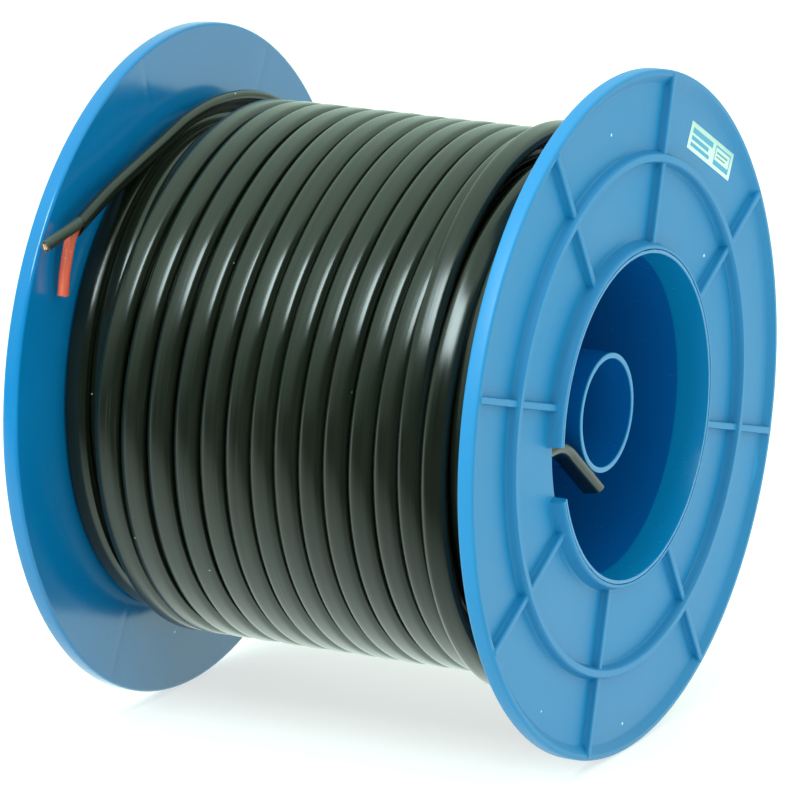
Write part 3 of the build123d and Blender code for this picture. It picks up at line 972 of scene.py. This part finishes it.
def skew_cut(piece, tip, down):
    """Slants the cut end: the near edge stops short and the underside is cut back."""
    points = np.zeros(len(piece.data.vertices) * 3)
    piece.data.vertices.foreach_get("co", points)
    points = points.reshape(-1, 3)
    behind = (points / MM - tip) @ down
    upward = np.array([-down[2], 0, down[0]])
    height = (points / MM - tip) @ upward
    depth = points[:, 1] / MM - tip[1]
    weight = np.clip(1 + behind / 9.0, 0, 1)
    shift = weight * (0.42 * height + 0.35 * depth)
    points += (shift[:, None] * down) * MM
    piece.data.vertices.foreach_set("co", points.ravel())
    piece.data.update()


# ---------------------------------------------------------------- studio

ROOM_TINT = (0.73, 1.0, 0.84)
ROOM_TOP = 1.55
ROOM_BRIGHT = 1.15         # the side the camera looks towards
ROOM_SIDES = 0.5
ROOM_DARK = 0.08           # round the camera
AMBIENT = 1.80             # what matt surfaces gather from the room

KEY_DIRECTION = (-0.68, 0.045, 0.73)
KEY_DISTANCE = 1.2         # metres, as is the size
KEY_SIZE = (0.42, 0.52)
KEY_POWER = 11.5
KEY_COLOUR = (0.78, 0.98, 1.0)

CAMERA_AZIMUTH = -62.1
CAMERA_ELEVATION = 14.4
CAMERA_LENS = 311.5
CAMERA_DISTANCE = 1.9895   # metres, as is the shift
CAMERA_SHIFT = (0.00185, 0.00228)
FLOOR_SIZE = 16


def aim(thing, place, target):
    thing.location = place
    thing.rotation_mode = "QUATERNION"
    thing.rotation_quaternion = (Vector(target) - Vector(place)).to_track_quat("-Z", "Y")


def build_key_light():
    """A softbox over the spool's left shoulder, which draws the highlights on the winding."""
    data = bpy.data.lights.new("key_light", "AREA")
    data.shape = "RECTANGLE"
    data.size, data.size_y = KEY_SIZE
    data.energy = KEY_POWER
    data.color = KEY_COLOUR
    lamp = bpy.data.objects.new("key_light", data)
    bpy.context.scene.collection.objects.link(lamp)
    aim(lamp, Vector(KEY_DIRECTION).normalized() * KEY_DISTANCE, (0, 0, 0))
    lamp.visible_camera = False


def build_camera():
    """The camera's own axes, and where the spool's centre stands in them, give its place."""
    azimuth, elevation = math.radians(CAMERA_AZIMUTH), math.radians(CAMERA_ELEVATION)
    back = Vector((math.sin(azimuth) * math.cos(elevation), -math.cos(azimuth) * math.cos(elevation),
                   math.sin(elevation)))
    right = Vector((math.cos(azimuth), math.sin(azimuth), 0))
    up = back.cross(right)
    data = bpy.data.cameras.new("camera")
    data.lens, data.sensor_width = CAMERA_LENS, 36
    data.clip_end = 100
    camera = bpy.data.objects.new("camera", data)
    bpy.context.scene.collection.objects.link(camera)
    place = back * CAMERA_DISTANCE - right * CAMERA_SHIFT[0] - up * CAMERA_SHIFT[1]
    camera.matrix_world = Matrix.Translation(place) @ Matrix((right, up, back)).transposed().to_4x4()
    bpy.context.scene.camera = camera


def build_world():
    """Reflections see a tinted room: bright overhead and behind the spool, dark round the camera.
    Matt surfaces gather an even glow of the same tint, and the camera sees plain white."""
    world = bpy.data.worlds.new("studio")
    bpy.context.scene.world = world
    world.use_nodes = True
    tree = world.node_tree
    tree.nodes.clear()
    link, add = tree.links.new, tree.nodes.new

    def ramp(value, low, high, to_low, to_high):
        node = add("ShaderNodeMapRange")
        node.interpolation_type = "SMOOTHSTEP"
        link(value, node.inputs[0])
        for socket, number in zip(node.inputs[1:5], (low, high, to_low, to_high)):
            if isinstance(number, bpy.types.NodeSocket):
                link(number, socket)
            else:
                socket.default_value = number
        return node.outputs[0]

    place = add("ShaderNodeTexCoord").outputs["Generated"]
    facing = add("ShaderNodeVectorMath")
    facing.operation = "DOT_PRODUCT"
    facing.inputs[1].default_value = DARK_SIDE
    link(place, facing.inputs[0])
    height = add("ShaderNodeSeparateXYZ")
    link(place, height.inputs[0])
    sides = ramp(facing.outputs["Value"], -0.6, 0.3, ROOM_BRIGHT, ROOM_SIDES)
    room = ramp(height.outputs["Z"], -0.1, 0.95, sides, ROOM_TOP)
    room = ramp(facing.outputs["Value"], 0.42, 0.66, room, ROOM_DARK)
    path = add("ShaderNodeLightPath")
    room = ramp(path.outputs["Is Glossy Ray"], 0, 1, AMBIENT, room)
    world.cycles.sampling_method = "NONE"    # light sampling would ignore the split by ray type
    glow = add("ShaderNodeBackground")
    glow.inputs["Color"].default_value = (*ROOM_TINT, 1)
    link(room, glow.inputs["Strength"])
    white = add("ShaderNodeBackground")
    pick = add("ShaderNodeMixShader")
    link(path.outputs["Is Camera Ray"], pick.inputs[0])
    link(glow.outputs[0], pick.inputs[1])
    link(white.outputs[0], pick.inputs[2])
    link(pick.outputs[0], add("ShaderNodeOutputWorld").inputs["Surface"])


def build_studio():
    build_camera()
    build_world()
    build_key_light()
    bpy.ops.mesh.primitive_grid_add(x_subdivisions=8, y_subdivisions=8, size=FLOOR_SIZE,
                                    location=(0, 0, -FLANGE_RADIUS * MM - 0.0002))
    floor = bpy.context.object
    floor.name = "floor"
    floor.data.materials.append(studio_floor())
    bpy.context.scene.view_settings.view_transform = "Standard"


def build():
    materials = {
        "near": moulded_plastic("azure_satin", gloss=(0.42, 0.50)),
        # The far flange: a darker copy of the same plastic, painted shade.
        "far": moulded_plastic("azure_far_painted_shade", depth=(1.0, 0.84, 0.88)),
        # Barrel, hub and spindle: a much darker copy of the plastic, painted shade in the bore, painted lit
        # near the open ends.
        "inside": moulded_plastic("azure_inside_painted_shade", (0.5, 0.49, 0.77), (0.17, 0.24), SPINDLE_END - 0.6),
        "sheath": sheath_plastic(),
        "black": core_plastic("black_core", dark=(0.016, 0.020, 0.016), light=(0.030, 0.036, 0.030),
                              mark=(0.12, 0.13, 0.12)),
        "red": core_plastic("red_core", dark=(0.50, 0.055, 0.030), light=(0.62, 0.095, 0.055),
                            mark=(0.78, 0.42, 0.36)),
        "copper": bare_copper(),
    }
    build_spool(materials["near"], materials["far"], materials["inside"])
    build_label()
    build_inner_layers(materials["sheath"])
    build_outer_layer(materials["sheath"])
    tail_path = build_outer_tail(materials)
    build_core_ends(materials, tail_path)
    build_inner_tail(materials)


build()
build_studio()
